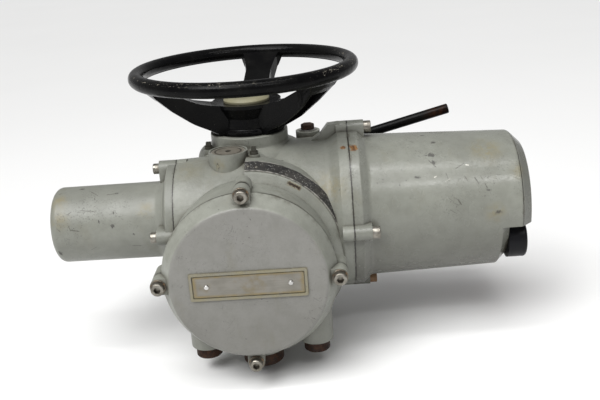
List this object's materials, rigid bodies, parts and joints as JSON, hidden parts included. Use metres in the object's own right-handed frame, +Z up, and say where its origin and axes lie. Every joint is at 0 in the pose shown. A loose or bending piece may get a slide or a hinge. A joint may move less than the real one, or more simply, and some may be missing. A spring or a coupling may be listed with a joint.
{
  "type": "motorized valve actuator",
  "caption": "Multi-turn electric valve actuator: cast gearcase with motor, electrical and terminal covers, top handwheel, hand/auto lever and a flanged base with a bored drive bush.",
  "frame": {"origin": "on the output column's axis, at the mounting face of the base", "axes": "+Z up along the output column towards the handwheel, +X towards the electrical cover, -Y towards the terminal cover"},
  "size_m": [0.512, 0.2902, 0.313],
  "materials": {
    "grey_paint": "semi-gloss paint, dirty and chipped",
    "black_paint": "glossy black paint, worn",
    "steel": "plain machined steel",
    "screw_steel": "stainless cap screws, dulled",
    "rusty_steel": "rusty plug steel",
    "aluminium_plate": "satin data plate, dirty",
    "cream_plastic": "cream cap",
    "black_plastic": "moulded black plastic",
    "red_plastic": "moulded red plastic",
    "label_foil": "dark label strip",
    "rubber": "black seal rubber",
    "bronze": "gear bronze",
    "brass": "terminal brass",
    "copper": "lacquered copper wire",
    "gear_steel": "oiled gear steel",
    "lamination": "stacked laminations",
    "board_green": "circuit board with parts",
    "clear_glass": "clear window"
  },
  "bodies": {
    "housing": {"gearcase": "grey_paint", "thrust_base": "grey_paint", "base_screws": "screw_steel", "base_oring": "rubber", "base_seal": "rubber", "control_cover": "grey_paint", "control_cover_screws": "screw_steel", "control_cover_oring": "rubber", "window_glass": "clear_glass", "window_bezel": "black_plastic", "knob_spindles": "steel", "motor_cover": "grey_paint", "motor_cover_screws": "screw_steel", "motor_cover_oring": "rubber", "terminal_cover": "grey_paint", "terminal_cover_screws": "screw_steel", "terminal_cover_oring": "rubber", "data_plate": "aluminium_plate", "data_plate_rivets": "screw_steel", "label_strip": "label_foil", "boss_cap": "aluminium_plate", "oil_filler_washer": "steel", "oil_filler_plug": "rusty_steel", "pipe_plugs": "rusty_steel", "conduit_plug_large": "rusty_steel", "conduit_plugs_small": "rusty_steel", "thrust_bearings": "steel", "column_bearing": "steel", "encoder_board": "board_green", "shaft_bearings": "steel", "torque_springs": "gear_steel", "motor_stator": "lamination", "motor_windings": "copper", "motor_end_shield": "aluminium_plate", "sleeve_bearing": "steel", "sleeve_seal": "rubber", "lever_seal": "rubber", "lever_spring": "gear_steel", "terminal_block": "black_plastic", "terminal_studs": "brass", "electronics_chassis": "steel", "power_transformer": "lamination", "contactors": "black_plastic", "main_board": "board_green", "display_module": "black_plastic"},
    "output": {"centre_column": "gear_steel", "drive_bush": "bronze", "encoder_ring": "black_plastic", "worm_wheel": "bronze"},
    "worm": {"worm_shaft": "gear_steel", "motor_rotor": "lamination"},
    "clutch": {"clutch_ring": "gear_steel"},
    "hand_drive": {"hand_drive_sleeve": "gear_steel", "handwheel": "black_paint", "hub_cap": "cream_plastic"},
    "lever": {"hand_auto_lever": "black_paint", "lever_shaft": "steel", "clutch_fork": "gear_steel"},
    "open_close": {"open_close_knob": "black_plastic"},
    "local_remote": {"local_remote_knob": "red_plastic"}
  },
  "joints": [
    {"name": "handwheel_spin", "type": "hinge", "parent": "housing", "child": "hand_drive", "pos_m": [0, 0, 0.305], "axis": [0, 0, 1], "continuous": true},
    {"name": "worm_spin", "type": "hinge", "parent": "housing", "child": "worm", "pos_m": [0, -0.045, 0.153], "axis": [1, 0, 0], "continuous": true},
    {"name": "output_spin", "type": "hinge", "parent": "housing", "child": "output", "pos_m": [0, 0, 0.153], "axis": [0, 0, 1], "continuous": true},
    {"name": "lever_press", "type": "hinge", "parent": "housing", "child": "lever", "pos_m": [0.046, 0.092, 0.177], "axis": [0, 1, 0], "range_deg": [0, 25], "stiffness_Nm_per_rad": 2, "springref_deg": -28.65},
    {"name": "clutch_lift", "type": "slide", "parent": "output", "child": "clutch", "axis": [0, 0, 1], "range_m": [0, 0.00677]},
    {"name": "open_close_turn", "type": "hinge", "parent": "housing", "child": "open_close", "pos_m": [0.285, -0.057, 0.111], "axis": [1, 0, 0], "range_deg": [-60, 60], "stiffness_Nm_per_rad": 0.1},
    {"name": "local_remote_turn", "type": "hinge", "parent": "housing", "child": "local_remote", "pos_m": [0.285, 0.027, 0.111], "axis": [1, 0, 0], "range_deg": [-90, 90]}
  ],
  "couplings": [
    {"joint": "output_spin", "follows": "worm_spin", "ratio": -0.05},
    {"joint": "clutch_lift", "follows": "lever_press", "m_per_rad": 0.015497}
  ]
}
